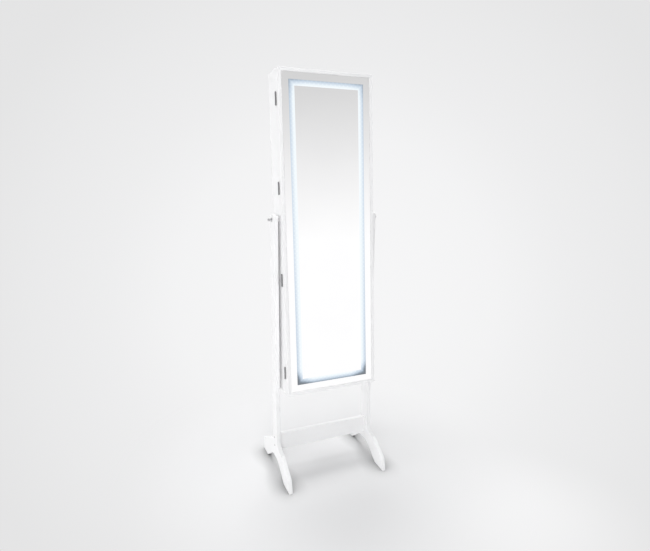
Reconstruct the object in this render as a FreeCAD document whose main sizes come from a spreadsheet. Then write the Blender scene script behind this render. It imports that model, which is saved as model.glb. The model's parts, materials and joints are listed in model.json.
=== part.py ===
import FreeCAD, Part
import math
import os
import re

import Sketcher

# Free-standing mirror cabinet for jewelry: two shaped feet and two posts carry a slim
# cabinet on two clamping knobs, so that the cabinet tilts between the posts.  Its door is a
# mirror with a lit band and turns on four butt hinges at the left.
#
# The stand is drawn about the posts' centre line (y = 0 there, z = 0 on the floor) and the
# cabinet about its tilting axis (y = 0, z = 0 there).  Both are then set in the part's frame,
# whose origin is on the floor, midway between the toes and the heels.

SIZES = {
    # stand
    "post_thickness": 16,
    "post_depth": 54,
    "post_height": 1048,
    "post_top_round": 12,
    "edge_round": 2,
    "side_gap": 9,
    "neck_height": 168,
    "toe_reach": 181,
    "heel_reach": 168,
    "toe_tip_reach": 168,
    "toe_height": 50.5,
    "toe_round": 20,
    "heel_height": 54,
    "heel_round": 14,
    "front_shoulder_reach": 85,
    "front_shoulder_height": 104,
    "front_cove_height": 109,
    "front_cove_round": 41,
    "rear_shoulder_reach": 60,
    "rear_shoulder_height": 116,
    "rear_cove_height": 127,
    "rear_cove_round": 16,
    "shoulder_round": 20,
    "arch_reach": 112,
    "arch_crown_reach": 38,
    "arch_height": 57,
    "arch_round": 70,
    "sole_round": 16,
    "dowel_radius": 4,
    "dowel_length": 50,
    "dowel_spacing": 26,
    "plug_radius": 4,
    "plug_length": 5,
    "plug_crown": 0.6,
    "plug_height": 428,
    "plug_offset": 2,
    "apron_front": 5,
    "apron_thickness": 17,
    "apron_drop": 10,
    "apron_height": 70,
    "bolt_edge": 17.5,
    "bolt_radius": 2.5,
    "bolt_reach": 52,
    "bolt_head_radius": 4,
    "bolt_head_height": 3.6,
    "bolt_sink": 4,
    "bolt_socket": 4,
    "bolt_socket_depth": 2,
    "nut_radius": 5,
    "nut_length": 12,
    "nut_inset": 32,
    # tilting axis
    "pivot_height": 1030,
    "tilt": 4.5,
    "stem_radius": 3,
    "stem_clearance": 0.2,
    "thread_clearance": 0.05,
    "insert_radius": 5.5,
    "insert_length": 10,
    "spacer_radius": 10,
    "seat_gap": 0.3,
    "knob_flange_radius": 7.75,
    "knob_flange": 2.2,
    "knob_neck_radius": 3.2,
    "knob_neck": 5,
    "knob_head_radius": 5.2,
    "knob_head": 8,
    "knob_blend": 1,
    "knob_crown": 3,
    # cabinet case
    "cabinet_width": 370,
    "cabinet_rise": 530,
    "cabinet_drop": 670,
    "door_front": 53.5,
    "door_thickness": 25,
    "door_gap": 1,
    "case_back": 60,
    "case_wall": 12,
    "back_thickness": 3,
    "back_rebate": 6,
    "liner_thickness": 1.5,
    "fit_gap": 0.2,
    "housing_depth": 3,
    # inside the case
    "shelf_thickness": 8,
    "shelf_setback": 7.5,
    "necklace_shelf_level": 110,
    "ring_shelf_level": -60,
    "upper_shelf_level": -250,
    "lower_shelf_level": -450,
    "lip_thickness": 6,
    "lip_height": 22,
    "lip_round": 2.5,
    "rail_level": 440,
    "rail_height": 25,
    "rail_thickness": 12,
    "rail_width": 300,
    "hook_radius": 1.25,
    "hook_bend": 5,
    "hook_reach": 16,
    "hook_tip": 5,
    "hook_pitch": 24,
    "hook_count": 12,
    "board_width": 320,
    "board_thickness": 4,
    "board_height": 104,
    "board_inset": 4,
    "batten_width": 15,
    "batten_depth": 22,
    "slot_width": 3,
    "slot_height": 16,
    "slot_pitch": 17,
    "slot_count": 16,
    "slot_rows": 3,
    "slot_row_pitch": 32,
    "cushion_width": 326,
    "cushion_height": 30,
    "cushion_crown": 3,
    "cushion_bays": 6,
    "roll_count": 4,
    "roll_pitch": 13.5,
    "roll_groove": 5.5,
    # hinges
    "hinge_length": 46,
    "hinge_offset": 3,
    "knuckle_radius": 2.5,
    "knuckle_gap": 0.3,
    "leaf_thickness": 1.2,
    "leaf_width": 11.5,
    "leaf_sink": 1,
    "pin_radius": 1.1,
    "pin_clearance": 0.05,
    "pin_overhang": 1,
    "hinge_level_1": 427,
    "hinge_level_2": 113,
    "hinge_level_3": -225,
    "hinge_level_4": -584,
    # catch
    "magnet_radius": 4,
    "magnet_length": 3,
    "plate_radius": 5,
    "plate_thickness": 1.2,
    "catch_rise": 330,
    "catch_drop": 470,
    # door
    "frame_width": 13,
    "glass_setback": 1,
    "glass_thickness": 4,
    "band_inset": 25,
    "band_width": 22,
    "etch_depth": 0.3,
    "backing_thickness": 9,
    "groove_depth": 4,
    "channel_depth": 7,
    "diffuser_thickness": 2,
    "led_width": 8,
    "led_thickness": 1,
    "panel_thickness": 3,
    "panel_setback": 3.5,
    "door_liner_thickness": 1,
    "battery_width": 96,
    "battery_height": 62,
    "battery_depth": 20,
    "battery_top": 500,
    "battery_wall": 3,
    "battery_round": 3,
    "lid_thickness": 1.5,
}

doc = FreeCAD.newDocument("mirror_cabinet")
sheet = doc.addObject("Spreadsheet::Sheet", "Sizes")
for row, (alias, number) in enumerate(SIZES.items(), start=1):
    sheet.set(f"A{row}", alias)
    sheet.set(f"B{row}", str(number))
    sheet.setAlias(f"B{row}", alias)
doc.recompute()

bodies = []


# ---- drawing helpers ---------------------------------------------------------------------

def size(alias):
    """The number in one named cell of the sheet."""
    return float(sheet.get(alias))


def bind(thing, target, formula):
    """Tie a property or a constraint to a formula in the sheet's names."""
    named = re.sub(r"[a-z]\w*", lambda word: named_cell(word.group()), formula)
    thing.setExpression(target, named)


def named_cell(word):
    return f"Sizes.{word}" if word in SIZES else word


def new_body(label):
    body = doc.addObject("PartDesign::Body", label)
    body.Label = label
    bodies.append(body)
    return body


def in_stand(label):
    """A body drawn about the posts' centre line."""
    body = new_body(label)
    bind(body, "Placement.Base.y", "(toe_reach - heel_reach) / 2")
    return body


def in_cabinet(label):
    """A body drawn about the tilting axis and leaning back with the cabinet."""
    body = new_body(label)
    body.Placement = FreeCAD.Placement(FreeCAD.Vector(), FreeCAD.Rotation(FreeCAD.Vector(1, 0, 0), 0))
    bind(body, "Placement.Base.y", "(toe_reach - heel_reach) / 2")
    bind(body, "Placement.Base.z", "pivot_height")
    bind(body, "Placement.Rotation.Angle", "-tilt")
    return body


def new_sketch(body, plane, level="0"):
    """A sketch at a level along the plane's axis: X for YZ, Y for XZ and Z for XY."""
    sketch = body.newObject("Sketcher::SketchObject", f"{body.Label}_sketch")
    origin_plane = next(o for o in body.Origin.OriginFeatures if o.Role == f"{plane}_Plane")
    sketch.AttachmentSupport = [(origin_plane, "")]
    sketch.MapMode = "FlatFace"
    sense = "-" if plane == "XZ" else ""
    bind(sketch, "AttachmentOffset.Base.z", f"{sense}({level})")
    return sketch


def hold_point(sketch, line, end, across, up):
    """Fix one point of a sketch by two formulas."""
    for kind, formula in (("DistanceX", across), ("DistanceY", up)):
        index = sketch.addConstraint(Sketcher.Constraint(kind, line, end, 1.0))
        bind(sketch, f"Constraints[{index}]", formula)


def draw_outline(sketch, points):
    """A closed outline of straight lines through points given by formulas."""
    count = len(points)
    turns = [2 * math.pi * number / count for number in range(count + 1)]
    ring = [FreeCAD.Vector(math.cos(turn), math.sin(turn), 0) for turn in turns]
    first = sketch.GeometryCount
    for number in range(count):
        sketch.addGeometry(Part.LineSegment(ring[number], ring[number + 1]), False)
    for number in range(count):
        following = first + (number + 1) % count
        sketch.addConstraint(Sketcher.Constraint("Coincident", first + number, 2, following, 1))
    for number, (across, up) in enumerate(points):
        hold_point(sketch, first + number, 1, across, up)


def draw_rectangle(sketch, left, right, low, high):
    draw_outline(sketch, [(left, low), (right, low), (right, high), (left, high)])


def draw_circle(sketch, across, up, radius):
    centre = FreeCAD.Vector(1, 1, 0)
    circle = sketch.addGeometry(Part.Circle(centre, FreeCAD.Vector(0, 0, 1), 1.0), False)
    hold_point(sketch, circle, 3, across, up)
    index = sketch.addConstraint(Sketcher.Constraint("Radius", circle, 1.0))
    bind(sketch, f"Constraints[{index}]", radius)


def raise_pad(body, plane, low, high, draw):
    """Add what draw puts in a sketch, from low to high along the plane's axis."""
    sketch = new_sketch(body, plane, high if plane == "XZ" else low)
    draw(sketch)
    pad = body.newObject("PartDesign::Pad", f"{body.Label}_pad")
    pad.Profile = sketch
    bind(pad, "Length", f"({high}) - ({low})")
    return pad


def cut_pocket(body, plane, low, high, draw):
    """Take away what draw puts in a sketch, from low to high along the plane's axis."""
    sketch = new_sketch(body, plane, high if plane == "XZ" else low)
    draw(sketch)
    pocket = body.newObject("PartDesign::Pocket", f"{body.Label}_pocket")
    pocket.Profile = sketch
    pocket.Reversed = True
    bind(pocket, "Length", f"({high}) - ({low})")
    return pocket


def rectangle(left, right, low, high):
    return lambda sketch: draw_rectangle(sketch, left, right, low, high)


def outline(points):
    return lambda sketch: draw_outline(sketch, points)


def circles(places, radius):
    def draw(sketch):
        for across, up in places:
            draw_circle(sketch, across, up, radius)
    return draw


def repeat_along(body, features, axis_role, pitch, count):
    """A row of copies along one axis of the body, at a pitch given by a formula."""
    pattern = body.newObject("PartDesign::LinearPattern", f"{body.Label}_row")
    pattern.Originals = features
    axis = next(o for o in body.Origin.OriginFeatures if o.Role == axis_role)
    pattern.Direction = (axis, [""])
    pattern.Mode = "Spacing"
    bind(pattern, "Offset", pitch)
    pattern.Occurrences = count
    body.Tip = pattern
    return pattern


def corner_edges(feature, sketch, corners):
    """The straight edges that stand on the numbered corners of a padded outline."""
    doc.recompute()
    flat = sketch.Placement.inverse()
    spots = [sketch.Geometry[corner].StartPoint for corner in corners]
    names = []
    for number, edge in enumerate(feature.Shape.Edges, start=1):
        ends = [flat.multVec(vertex.Point) for vertex in edge.Vertexes]
        for spot in spots:
            if len(ends) == 2 and all(math.hypot(e.x - spot.x, e.y - spot.y) < 1e-4 for e in ends):
                names.append(f"Edge{number}")
    return names


def round_edges(body, feature, names, radius):
    fillet = body.newObject("PartDesign::Fillet", f"{body.Label}_round")
    fillet.Base = (feature, names)
    bind(fillet, "Radius", radius)
    doc.recompute()
    return fillet


def edges_where(feature, test):
    """The edges whose end points all pass a test."""
    doc.recompute()
    found = []
    for number, edge in enumerate(feature.Shape.Edges, start=1):
        if all(test(vertex.Point) for vertex in edge.Vertexes):
            found.append(f"Edge{number}")
    return found


# ---- lines that several pieces share -----------------------------------------------------

HALF_DEPTH = "post_depth / 2"
POST_INNER = "(cabinet_width / 2 + side_gap)"
POST_OUTER = "(cabinet_width / 2 + side_gap + post_thickness)"
POST_MIDDLE = "(cabinet_width / 2 + side_gap + post_thickness / 2)"
BOLT_Y = "(apron_thickness / 2 - apron_front)"
APRON_HIGH = "(neck_height - apron_drop)"
APRON_LOW = "(neck_height - apron_drop - apron_height)"
BOLT_ROWS = (f"({APRON_LOW} + bolt_edge)", f"({APRON_HIGH} - bolt_edge)")

HALF_WIDTH = "cabinet_width / 2"
INNER_WIDTH = "(cabinet_width / 2 - case_wall)"
INNER_TOP = "(cabinet_rise - case_wall)"
INNER_BOTTOM = "-(cabinet_drop - case_wall)"
DOOR_FRONT = "-door_front"
DOOR_BACK = "-(door_front - door_thickness)"
CASE_FRONT = "-(door_front - door_thickness - door_gap)"
BACK_FACE = "(case_back - back_thickness)"
LINER_FACE = "(case_back - back_thickness - liner_thickness)"
SHELF_FRONT = "-(door_front - door_thickness - door_gap - shelf_setback)"
LIP_BACK = "-(door_front - door_thickness - door_gap - shelf_setback - lip_thickness)"

HINGE_X = "-(cabinet_width / 2 + hinge_offset)"
HINGE_Y = "-(door_front - door_thickness - door_gap / 2)"
HINGE_LEVELS = ("hinge_level_1", "hinge_level_2", "hinge_level_3", "hinge_level_4")
SHELVES = {
    "necklace_shelf": "necklace_shelf_level",
    "ring_shelf": "ring_shelf_level",
    "upper_shelf": "upper_shelf_level",
    "lower_shelf": "lower_shelf_level",
}

GLASS_FRONT = "-(door_front - glass_setback)"
GLASS_BACK = "-(door_front - glass_setback - glass_thickness)"
BACKING_BACK = "-(door_front - glass_setback - glass_thickness - backing_thickness)"
CHANNEL_FLOOR = "-(door_front - glass_setback - glass_thickness - channel_depth)"
PANEL_BACK = "-(door_front - door_thickness + panel_setback)"
PANEL_FRONT = "-(door_front - door_thickness + panel_setback + panel_thickness)"
LINER_BACK = "-(door_front - door_thickness + panel_setback - door_liner_thickness)"

SIDES = {"left": "-1", "right": "1"}


def span(side, near, far):
    """The lower and the upper X of a stretch from near to far on one side."""
    if side == "left":
        return f"-({far})", f"-({near})"
    return near, far


# ---- stand -------------------------------------------------------------------------------

def make_foot(side):
    """One board: toe and heel on the floor, an arch between them and a neck for the post."""
    body = in_stand(f"{side}_foot")
    corners = [
        ("-toe_reach", "0"),
        ("-arch_reach", "0"),
        ("-arch_crown_reach", "arch_height"),
        ("arch_crown_reach", "arch_height"),
        ("arch_reach", "0"),
        ("heel_reach", "0"),
        ("heel_reach", "heel_height"),
        ("rear_shoulder_reach", "rear_shoulder_height"),
        (HALF_DEPTH, "rear_cove_height"),
        (HALF_DEPTH, "neck_height"),
        (f"-{HALF_DEPTH}", "neck_height"),
        (f"-{HALF_DEPTH}", "front_cove_height"),
        ("-front_shoulder_reach", "front_shoulder_height"),
        ("-toe_tip_reach", "toe_height"),
    ]
    pad = raise_pad(body, "YZ", *span(side, POST_INNER, POST_OUTER), outline(corners))
    sketch = pad.Profile[0]
    feature = pad
    rounds = (
        ("sole_round", [1]),
        ("arch_round", [2, 3]),
        ("heel_round", [6]),
        ("shoulder_round", [7, 12]),
        ("rear_cove_round", [8]),
        ("front_cove_round", [11]),
        ("toe_round", [13]),
    )
    for radius, numbers in rounds:
        feature = round_edges(body, feature, corner_edges(feature, sketch, numbers), radius)
    ease_faces(body, feature, lambda point: point.z < size("neck_height") - 0.01)
    drill_bolt_holes(body, side)
    drill_dowel_holes(body, side, "neck_height - dowel_length / 2 - seat_gap", "neck_height")
    return body


def ease_faces(body, feature, kept):
    """Round the outline edges of a board's two faces where kept says so."""
    faces = (size("cabinet_width") / 2 + size("side_gap"),
             size("cabinet_width") / 2 + size("side_gap") + size("post_thickness"))

    def on_face(point):
        return min(abs(abs(point.x) - face) for face in faces) < 1e-4

    doc.recompute()
    names = []
    for number, edge in enumerate(feature.Shape.Edges, start=1):
        ends = [vertex.Point for vertex in edge.Vertexes]
        along_face = all(on_face(end) for end in ends) and abs(ends[0].x - ends[-1].x) < 1e-4
        if along_face and any(kept(end) for end in ends):
            names.append(f"Edge{number}")
    return round_edges(body, feature, names, "edge_round")


def drill_bolt_holes(body, side):
    places = [(BOLT_Y, row) for row in BOLT_ROWS]
    cut_pocket(body, "YZ", *span(side, POST_INNER, POST_OUTER),
               circles(places, "bolt_radius + stem_clearance"))
    cut_pocket(body, "YZ", *span(side, f"{POST_OUTER} - bolt_sink", POST_OUTER),
               circles(places, "bolt_head_radius + stem_clearance"))


def dowel_places(side):
    middle = span(side, POST_MIDDLE, POST_MIDDLE)[0]
    return [(middle, "-dowel_spacing / 2"), (middle, "dowel_spacing / 2")]


def drill_dowel_holes(body, side, low, high):
    cut_pocket(body, "XY", low, high, circles(dowel_places(side), "dowel_radius + fit_gap / 2"))


def make_post(side):
    """A flat post with rounded top corners, bored for the knob's stem."""
    body = in_stand(f"{side}_post")
    corners = [
        (f"-{HALF_DEPTH}", "neck_height"),
        (HALF_DEPTH, "neck_height"),
        (HALF_DEPTH, "post_height"),
        (f"-{HALF_DEPTH}", "post_height"),
    ]
    pad = raise_pad(body, "YZ", *span(side, POST_INNER, POST_OUTER), outline(corners))
    crown = round_edges(body, pad, corner_edges(pad, pad.Profile[0], [2, 3]), "post_top_round")
    ease_faces(body, crown, lambda point: point.z > size("neck_height") + 0.01)
    cut_pocket(body, "YZ", *span(side, POST_INNER, POST_OUTER),
               circles([("0", "pivot_height")], "stem_radius + stem_clearance"))
    cut_pocket(body, "YZ", *span(side, f"{POST_OUTER} - plug_length", POST_OUTER),
               circles([("-plug_offset", "plug_height")], "plug_radius + fit_gap / 2"))
    drill_dowel_holes(body, side, "neck_height", "neck_height + dowel_length / 2 + seat_gap")
    return body


def make_post_joints():
    dowels = in_stand("post_dowels")
    places = dowel_places("left") + dowel_places("right")
    raise_pad(dowels, "XY", "neck_height - dowel_length / 2", "neck_height + dowel_length / 2",
              circles(places, "dowel_radius"))
    plugs = in_stand("post_plugs")
    for side in SIDES:
        raise_pad(plugs, "YZ", *span(side, f"{POST_OUTER} - plug_length", f"{POST_OUTER} + plug_crown"),
                  circles([("-plug_offset", "plug_height")], "plug_radius"))


def make_apron():
    """The board between the feet, drawn tight by two bolts at each end."""
    board = in_stand("apron_board")
    raise_pad(board, "YZ", f"-{POST_INNER}", POST_INNER,
              rectangle("-apron_front", "apron_thickness - apron_front", APRON_LOW, APRON_HIGH))
    for side in SIDES:
        ends = span(side, f"{POST_OUTER} - bolt_sink - bolt_reach - seat_gap", POST_INNER)
        cut_pocket(board, "YZ", *ends,
                   circles([(BOLT_Y, row) for row in BOLT_ROWS], "bolt_radius + stem_clearance"))
    nut_x = f"({POST_INNER} - nut_inset)"
    nut_places = [(f"{sign} * {nut_x}", row) for sign in SIDES.values() for row in BOLT_ROWS]
    cut_pocket(board, "XZ", f"{BOLT_Y} - nut_length / 2 - seat_gap", "apron_thickness - apron_front",
               circles(nut_places, "nut_radius + fit_gap / 2"))

    nuts = in_stand("apron_nuts")
    raise_pad(nuts, "XZ", f"{BOLT_Y} - nut_length / 2", f"{BOLT_Y} + nut_length / 2",
              circles(nut_places, "nut_radius"))
    cut_pocket(nuts, "YZ", f"-{POST_INNER}", POST_INNER,
               circles([(BOLT_Y, row) for row in BOLT_ROWS], "bolt_radius + thread_clearance"))

    bolts = in_stand("apron_bolts")
    seat = f"({POST_OUTER} - bolt_sink)"
    for side in SIDES:
        places = [(BOLT_Y, row) for row in BOLT_ROWS]
        raise_pad(bolts, "YZ", *span(side, f"{seat} - bolt_reach", seat),
                  circles(places, "bolt_radius"))
        raise_pad(bolts, "YZ", *span(side, seat, f"{seat} + bolt_head_height"),
                  circles(places, "bolt_head_radius"))
        for row in BOLT_ROWS:
            cut_socket(bolts, side, f"{seat} + bolt_head_height", row)


def cut_socket(bolts, side, top, row):
    """The hexagon socket of one bolt head."""
    corners = []
    for number in range(6):
        turn = 60 * number
        corners.append((f"{BOLT_Y} + bolt_socket / sqrt(3) * cos({turn})",
                        f"{row} + bolt_socket / sqrt(3) * sin({turn})"))
    cut_pocket(bolts, "YZ", *span(side, f"{top} - bolt_socket_depth", top), outline(corners))


# ---- tilting axis ------------------------------------------------------------------------

def make_knob(side):
    """A turned knob: stem through the post, flange against it, neck and domed head."""
    body = in_cabinet(f"{side}_knob")
    sign = SIDES[side]
    stem_end = f"(cabinet_width / 2 - insert_length)"
    flange = f"({POST_OUTER} + seat_gap)"
    neck = f"({POST_OUTER} + seat_gap + knob_flange)"
    head = f"({POST_OUTER} + seat_gap + knob_flange + knob_neck)"
    tip = f"({POST_OUTER} + seat_gap + knob_flange + knob_neck + knob_head)"
    profile = [
        (stem_end, "0"),
        (stem_end, "stem_radius"),
        (flange, "stem_radius"),
        (flange, "knob_flange_radius"),
        (neck, "knob_flange_radius"),
        (neck, "knob_neck_radius"),
        (head, "knob_neck_radius"),
        (head, "knob_head_radius"),
        (tip, "knob_head_radius"),
        (tip, "0"),
    ]
    sketch = new_sketch(body, "XY")
    draw_outline(sketch, [(f"{sign} * {along}", radius) for along, radius in profile])
    turned = body.newObject("PartDesign::Revolution", f"{side}_knob_turned")
    turned.Profile = sketch
    turned.ReferenceAxis = (sketch, ["H_Axis"])
    turned.Angle = 360
    feature = turned
    for radius, numbers in (("knob_blend", [4, 7]), ("knob_crown", [8])):
        feature = round_edges(body, feature, turned_edges(feature, sketch, numbers), radius)
    return body


def turned_edges(feature, sketch, corners):
    """The circles that the numbered corners of a turned profile draw."""
    doc.recompute()
    names = []
    for corner in corners:
        spot = sketch.Geometry[corner].StartPoint
        for number, edge in enumerate(feature.Shape.Edges, start=1):
            curve = edge.Curve
            if isinstance(curve, Part.Circle) and abs(curve.Center.x - spot.x) < 1e-4 \
                    and abs(curve.Radius - spot.y) < 1e-4:
                names.append(f"Edge{number}")
    return names


def make_pivot_seats():
    """Spacers between the posts and the cabinet, and the threaded inserts in its sides."""
    spacers = in_cabinet("pivot_spacers")
    inserts = in_cabinet("pivot_inserts")
    for side in SIDES:
        ends = span(side, HALF_WIDTH, f"{POST_INNER} - seat_gap")
        raise_pad(spacers, "YZ", *ends, circles([("0", "0")], "spacer_radius"))
        cut_pocket(spacers, "YZ", *ends, circles([("0", "0")], "stem_radius + stem_clearance"))
        ends = span(side, f"{HALF_WIDTH} - insert_length", HALF_WIDTH)
        raise_pad(inserts, "YZ", *ends, circles([("0", "0")], "insert_radius"))
        cut_pocket(inserts, "YZ", *ends, circles([("0", "0")], "stem_radius + thread_clearance"))


# ---- case --------------------------------------------------------------------------------

def make_case_side(side):
    """A side board with a rebate for the back and housings for the shelves."""
    body = in_cabinet(f"case_{side}_side")
    sign = SIDES[side]
    rebate = f"({INNER_WIDTH} + back_rebate)"
    section = [
        (HALF_WIDTH, CASE_FRONT),
        (HALF_WIDTH, "case_back"),
        (rebate, "case_back"),
        (rebate, BACK_FACE),
        (INNER_WIDTH, BACK_FACE),
        (INNER_WIDTH, CASE_FRONT),
    ]
    raise_pad(body, "XY", "-cabinet_drop", "cabinet_rise",
              outline([(f"{sign} * {across}", along) for across, along in section]))
    for level in SHELVES.values():
        cut_pocket(body, "YZ", *span(side, INNER_WIDTH, f"{INNER_WIDTH} + housing_depth"),
                   rectangle(f"{SHELF_FRONT} - fit_gap", BACK_FACE, f"{level} - shelf_thickness", level))
    cut_pocket(body, "YZ", *span(side, f"{HALF_WIDTH} - insert_length", HALF_WIDTH),
               circles([("0", "0")], "insert_radius"))
    if side == "left":
        for level in HINGE_LEVELS:
            cut_pocket(body, "XZ", CASE_FRONT, f"{CASE_FRONT} + leaf_sink", leaf_mortise(level))
    else:
        cut_pocket(body, "XZ", CASE_FRONT, f"{CASE_FRONT} + plate_thickness",
                   circles(catch_places(), "plate_radius + fit_gap / 2"))
    return body


def leaf_mortise(level):
    """The outline of the recess that takes one hinge leaf."""
    return rectangle(f"-{HALF_WIDTH}", f"-{HALF_WIDTH} + leaf_width + fit_gap",
                     f"{level} - hinge_length / 2 - fit_gap", f"{level} + hinge_length / 2 + fit_gap")


def catch_places():
    across = "cabinet_width / 2 - frame_width / 2"
    return [(across, "catch_rise"), (across, "-catch_drop")]


def make_case_end(name, outer, inner, rebate):
    """The top or the bottom board, with the same rebate for the back as the sides."""
    body = in_cabinet(name)
    section = [
        (CASE_FRONT, outer),
        ("case_back", outer),
        ("case_back", rebate),
        (BACK_FACE, rebate),
        (BACK_FACE, inner),
        (CASE_FRONT, inner),
    ]
    raise_pad(body, "YZ", f"-{INNER_WIDTH}", INNER_WIDTH, outline(section))
    return body


def make_case_back():
    back = in_cabinet("case_back_panel")
    reach = f"({INNER_WIDTH} + back_rebate - fit_gap)"
    raise_pad(back, "XZ", BACK_FACE, "case_back",
              rectangle(f"-{reach}", reach, f"{INNER_BOTTOM} - back_rebate + fit_gap",
                        f"{INNER_TOP} + back_rebate - fit_gap"))
    liner = in_cabinet("back_liner")
    raise_pad(liner, "XZ", LINER_FACE, BACK_FACE,
              rectangle(f"-{INNER_WIDTH} + fit_gap", f"{INNER_WIDTH} - fit_gap",
                        f"{INNER_BOTTOM} + fit_gap", f"{INNER_TOP} - fit_gap"))


def make_shelf(name, level):
    """A shelf let into the sides, and the rounded lip that stands on its front edge."""
    shelf = in_cabinet(name)
    reach = f"({INNER_WIDTH} + housing_depth - fit_gap)"
    raise_pad(shelf, "XY", f"{level} - shelf_thickness", level,
              rectangle(f"-{reach}", reach, SHELF_FRONT, f"{LINER_FACE} - fit_gap"))
    lip = in_cabinet(f"{name}_lip")
    pad = raise_pad(lip, "YZ", f"-{INNER_WIDTH} + fit_gap", f"{INNER_WIDTH} - fit_gap",
                    rectangle(SHELF_FRONT, LIP_BACK, level, f"{level} + lip_height"))
    round_edges(lip, pad, corner_edges(pad, pad.Profile[0], [2, 3]), "lip_round")


def make_hook_rail():
    """A rail near the top of the back wall with a row of bent wire hooks."""
    rail = in_cabinet("hook_rail")
    raise_pad(rail, "XZ", f"{LINER_FACE} - rail_thickness", LINER_FACE,
              rectangle("-rail_width / 2", "rail_width / 2", "rail_level", "rail_level + rail_height"))

    hooks = in_cabinet("necklace_hooks")
    first = "-hook_pitch * (hook_count - 1) / 2"
    root = f"({LINER_FACE} - rail_thickness)"
    bend = f"({root} - hook_reach)"
    level = "(rail_level + rail_height / 2)"
    low = f"({level} - 2 * hook_bend)"
    arm = raise_pad(hooks, "XZ", bend, root, circles([(first, level)], "hook_radius"))
    sketch = new_sketch(hooks, "XZ", bend)
    draw_circle(sketch, first, level, "hook_radius")
    axis = sketch.addGeometry(Part.LineSegment(FreeCAD.Vector(2, 0, 0), FreeCAD.Vector(3, 0, 0)), True)
    hold_point(sketch, axis, 1, f"{first} - hook_bend", f"{level} - hook_bend")
    hold_point(sketch, axis, 2, f"{first} + hook_bend", f"{level} - hook_bend")
    turn = hooks.newObject("PartDesign::Revolution", "necklace_hooks_bend")
    turn.Profile = sketch
    turn.ReferenceAxis = (sketch, ["Axis0"])
    turn.Angle = 180
    tip = raise_pad(hooks, "XZ", bend, f"{bend} + hook_tip", circles([(first, low)], "hook_radius"))
    repeat_along(hooks, [arm, turn, tip], "X_Axis", "hook_pitch", int(size("hook_count")))


def make_earring_board():
    """A slotted board held off the back wall by two battens."""
    top = "(necklace_shelf_level - shelf_thickness - board_inset)"
    low = f"({top} - board_height)"
    face = f"({LINER_FACE} - batten_depth)"
    board = in_cabinet("earring_board")
    raise_pad(board, "XZ", f"{face} - board_thickness", face,
              rectangle("-board_width / 2", "board_width / 2", low, top))
    left = "-slot_pitch * (slot_count - 1) / 2"
    level = f"({low} + board_height / 2 - slot_row_pitch * (slot_rows - 1) / 2)"
    for number in range(int(size("slot_rows"))):
        middle = f"({level} + {number} * slot_row_pitch)"
        slot = cut_pocket(board, "XZ", f"{face} - board_thickness", face,
                          rectangle(f"{left} - slot_width / 2", f"{left} + slot_width / 2",
                                    f"{middle} - slot_height / 2", f"{middle} + slot_height / 2"))
        repeat_along(board, [slot], "X_Axis", "slot_pitch", int(size("slot_count")))

    battens = in_cabinet("earring_battens")
    for side in SIDES:
        raise_pad(battens, "XZ", face, LINER_FACE,
                  rectangle(*span(side, "board_width / 2 - batten_width", "board_width / 2"), low, top))


def roll_section(x, shrink):
    """Closed outline of the ring rolls at one X: a flat base and one round back per roll."""
    count = int(size("roll_count"))
    pitch = size("roll_pitch")
    front = -(size("door_front") - size("door_thickness") - size("door_gap")
              - size("shelf_setback") - size("lip_thickness")) + size("seat_gap")
    base = size("ring_shelf_level")
    side_height = size("cushion_height") - size("roll_groove") - shrink
    crown_height = size("cushion_height") - shrink
    valleys = [FreeCAD.Vector(x, front + pitch * number, base + side_height)
               for number in range(count + 1)]
    foot_front = FreeCAD.Vector(x, front, base)
    foot_back = FreeCAD.Vector(x, front + pitch * count, base)
    edges = [Part.LineSegment(foot_front, valleys[0]).toShape()]
    for start, end in zip(valleys, valleys[1:]):
        crown = FreeCAD.Vector(x, (start.y + end.y) / 2, base + crown_height)
        edges.append(Part.Arc(start, crown, end).toShape())
    edges.append(Part.LineSegment(valleys[-1], foot_back).toShape())
    edges.append(Part.LineSegment(foot_back, foot_front).toShape())
    return Part.Wire(edges)


def make_ring_cushion():
    """Padded rolls side by side on the ring shelf, fullest in the middle of their length."""
    reach = size("cushion_width") / 2
    crown = size("cushion_crown")
    bays = int(size("cushion_bays"))
    stations = [2 * number / bays - 1 for number in range(bays + 1)]
    sections = [roll_section(reach * station, crown * station ** 2) for station in stations]
    cushion = doc.addObject("Part::Feature", "ring_cushion")
    cushion.Label = "ring_cushion"
    cushion.Shape = Part.makeLoft(sections, True, True)
    cushion.Placement = FreeCAD.Placement(
        FreeCAD.Vector(0, (size("toe_reach") - size("heel_reach")) / 2, size("pivot_height")),
        FreeCAD.Rotation(FreeCAD.Vector(1, 0, 0), -size("tilt")))
    bodies.append(cushion)


# ---- hinges and catch --------------------------------------------------------------------

def make_leaf(name, level, low_knuckle, knuckles, leaf_low, leaf_high):
    """A hinge leaf: a flat plate with every second knuckle of the barrel rolled on its edge."""
    body = in_cabinet(name)
    bottom = f"({level} - hinge_length / 2)"
    knuckle = "(hinge_length / 5)"
    start = f"({bottom} + {low_knuckle} * {knuckle} + knuckle_gap / 2)"
    end = f"({start} + {knuckle} - knuckle_gap)"
    clear_edge = f"({HINGE_X} + knuckle_radius + knuckle_gap)"
    raise_pad(body, "XZ", leaf_low, leaf_high,
              rectangle(clear_edge, f"-{HALF_WIDTH} + leaf_width", bottom, f"{bottom} + hinge_length"))
    barrel = raise_pad(body, "XY", start, end, circles([(HINGE_X, HINGE_Y)], "knuckle_radius"))
    tongue = raise_pad(body, "XY", start, end, rectangle(HINGE_X, clear_edge, leaf_low, leaf_high))
    repeat_along(body, [barrel, tongue], "Z_Axis", f"2 * {knuckle}", knuckles)
    cut_pocket(body, "XY", bottom, f"{bottom} + hinge_length",
               circles([(HINGE_X, HINGE_Y)], "pin_radius + pin_clearance"))


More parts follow.
